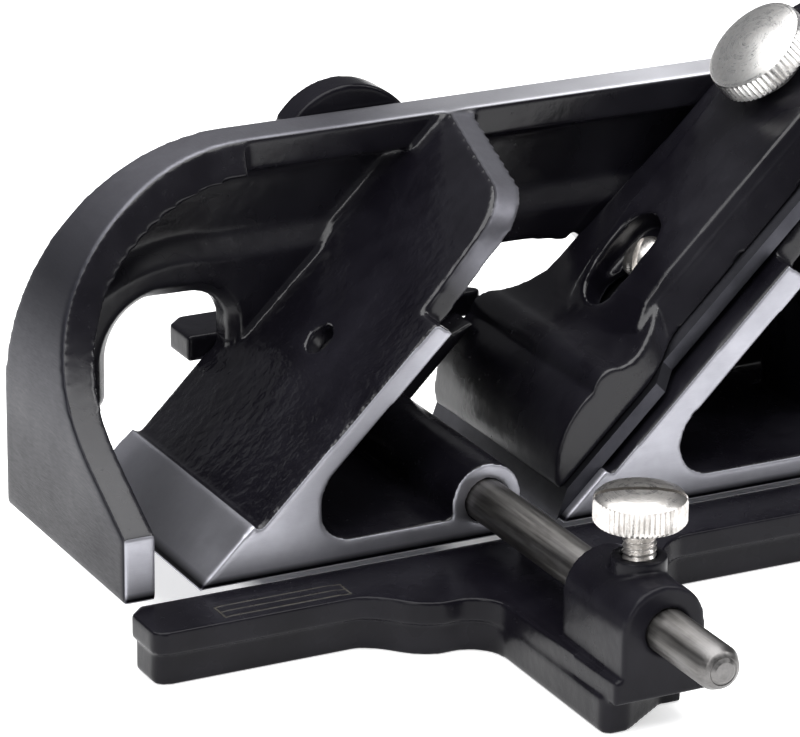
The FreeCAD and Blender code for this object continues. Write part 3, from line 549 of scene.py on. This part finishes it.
def rod():
    profile = [
        (0, 0), (3, 0), (3, 91.3), (2.5, 92.3), (2.45, 92.4), (1.9, 92.75), (1.8, 92.7), (1.3, 93.1),
        (0, 93.2),
    ]
    place = Matrix.Translation((0, 11, ROD_HEIGHT)) @ Matrix.Rotation(QUARTER, 4, "X")
    link("rod_turned", lathe(profile, place, 128), "plane", "fence_rod", rod_steel())


def lever_pivot():
    profile = [
        (0, 0), (1.5, 0), (1.5, 16.4), (2.3, 16.4), (2.4, 16.5), (2.4, 17.5), (2.1, 17.8), (0, 17.8),
    ]
    place = bed_matrix(LEVER_PIVOT_REACH, 8.3, -7) @ Matrix.Rotation(QUARTER, 4, "X")
    metal = turned_metal("plated_pivot", tuple(place.translation), (0, 0, 0))
    link("pivot_turned", lathe(profile, place, 64), "plane", "adjusting_lever_pivot", metal)


def spur_screw():
    profile = [
        (0, -3.4), (1.6, -3.4), (1.6, 1.1), (2.4, 1.1), (2.5, 1.15), (2.5, 1.5), (2.4, 1.6), (0, 1.6),
    ]
    place = Matrix.Translation(SPUR_SCREW_PLACE) @ Matrix.Rotation(-QUARTER, 4, "X")
    mesh = lathe(profile, place, 64, slot=(0.35, 0.9))
    metal = turned_metal("plated_spur_screw", SPUR_SCREW_PLACE, (-QUARTER, 0, 0))
    link("spur_screw_turned", mesh, "nicker_screw", "spur_screw", metal)


def shown_nodes():
    for name, finish in (("cutter", tool_steel()), ("spur", tool_steel())):
        nodes[name].data.materials.clear()
        nodes[name].data.materials.append(finish)


# ------------------------------------------------------------------ studio
def floor():
    """A pale floor just under the object, with a faint glow except beneath the body, where the missing glow
    leaves a painted shadow.
    """
    bpy.ops.mesh.primitive_plane_add(size=30, location=(0, 0, cad_bounds[0][2] - 0.1 * MM))
    sheet = bpy.context.object
    sheet.name = "floor"
    s = Shader("floor_white")
    s.finish(s.mix(s.noise(0.002), (0.78, 0.78, 0.78, 1), (0.80, 0.80, 0.80, 1)), 0.95, 0, None, 0.1)
    s.surface.inputs["Emission Color"].default_value = (1, 1, 1, 1)
    # Painted shadow: the glow is left out in a rectangle under the body.
    under_x = s.both(s.step(s.x, -29, -25), s.fall(s.x, 163, 167))
    under_y = s.both(s.step(s.y, -18, -12), s.fall(s.y, 20, 24))
    glow = s.math("SUBTRACT", 1, s.both(under_x, under_y))
    s.links.new(s.math("MULTIPLY", glow, FLOOR_GLOW), s.surface.inputs["Emission Strength"])
    sheet.data.materials.append(s.made)


def area(name, place, target, size, power):
    lamp = bpy.data.lights.new(name, "AREA")
    lamp.shape = "RECTANGLE"
    lamp.size, lamp.size_y = size
    lamp.energy = power
    holder = bpy.data.objects.new(name, lamp)
    bpy.context.scene.collection.objects.link(holder)
    holder.location = place
    holder.rotation_euler = (Vector(target) - Vector(place)).to_track_quat("-Z", "Y").to_euler()


def world():
    sky = bpy.data.worlds.new("studio")
    bpy.context.scene.world = sky
    sky.use_nodes = True
    background = sky.node_tree.nodes["Background"]
    background.inputs["Color"].default_value = (0.95, 0.96, 1, 1)
    background.inputs["Strength"].default_value = 0.18


def camera():
    azimuth, height, roll = (math.radians(angle) for angle in CAMERA_ANGLES)
    view = bpy.data.cameras.new("camera")
    view.sensor_width = 36
    view.lens = 216.2
    view.clip_start = 0.01
    holder = bpy.data.objects.new("camera", view)
    bpy.context.scene.collection.objects.link(holder)
    flat = math.cos(height)
    ahead = Vector((-math.sin(azimuth) * flat, math.cos(azimuth) * flat, -math.sin(height)))
    right = Vector((math.cos(azimuth), math.sin(azimuth), 0))
    up = right.cross(ahead)
    rolled_right = math.cos(roll) * right + math.sin(roll) * up
    rolled_up = math.cos(roll) * up - math.sin(roll) * right
    turn = Matrix((rolled_right, rolled_up, -ahead)).transposed().to_4x4()
    holder.matrix_world = Matrix.Translation(CAMERA_PLACE) @ turn
    bpy.context.scene.camera = holder


castings()
cap_knob()
cap_screw()
thumbscrew()
stop_screw()
rod()
lever_pivot()
spur_screw()
shown_nodes()
floor()
area("overhead", (-0.1, 0.0, 1.2), (0, 0, 0), (1.6, 1.6), 38)
area("front_left", (-0.9, -0.6, 0.6), (0, 0, 0.03), (0.25, 0.8), 4)
area("right", (0.75, -0.35, 0.75), (0.02, 0, 0.03), (0.15, 0.5), 3)
camera()
world()
bpy.context.scene.view_settings.view_transform = "Standard"
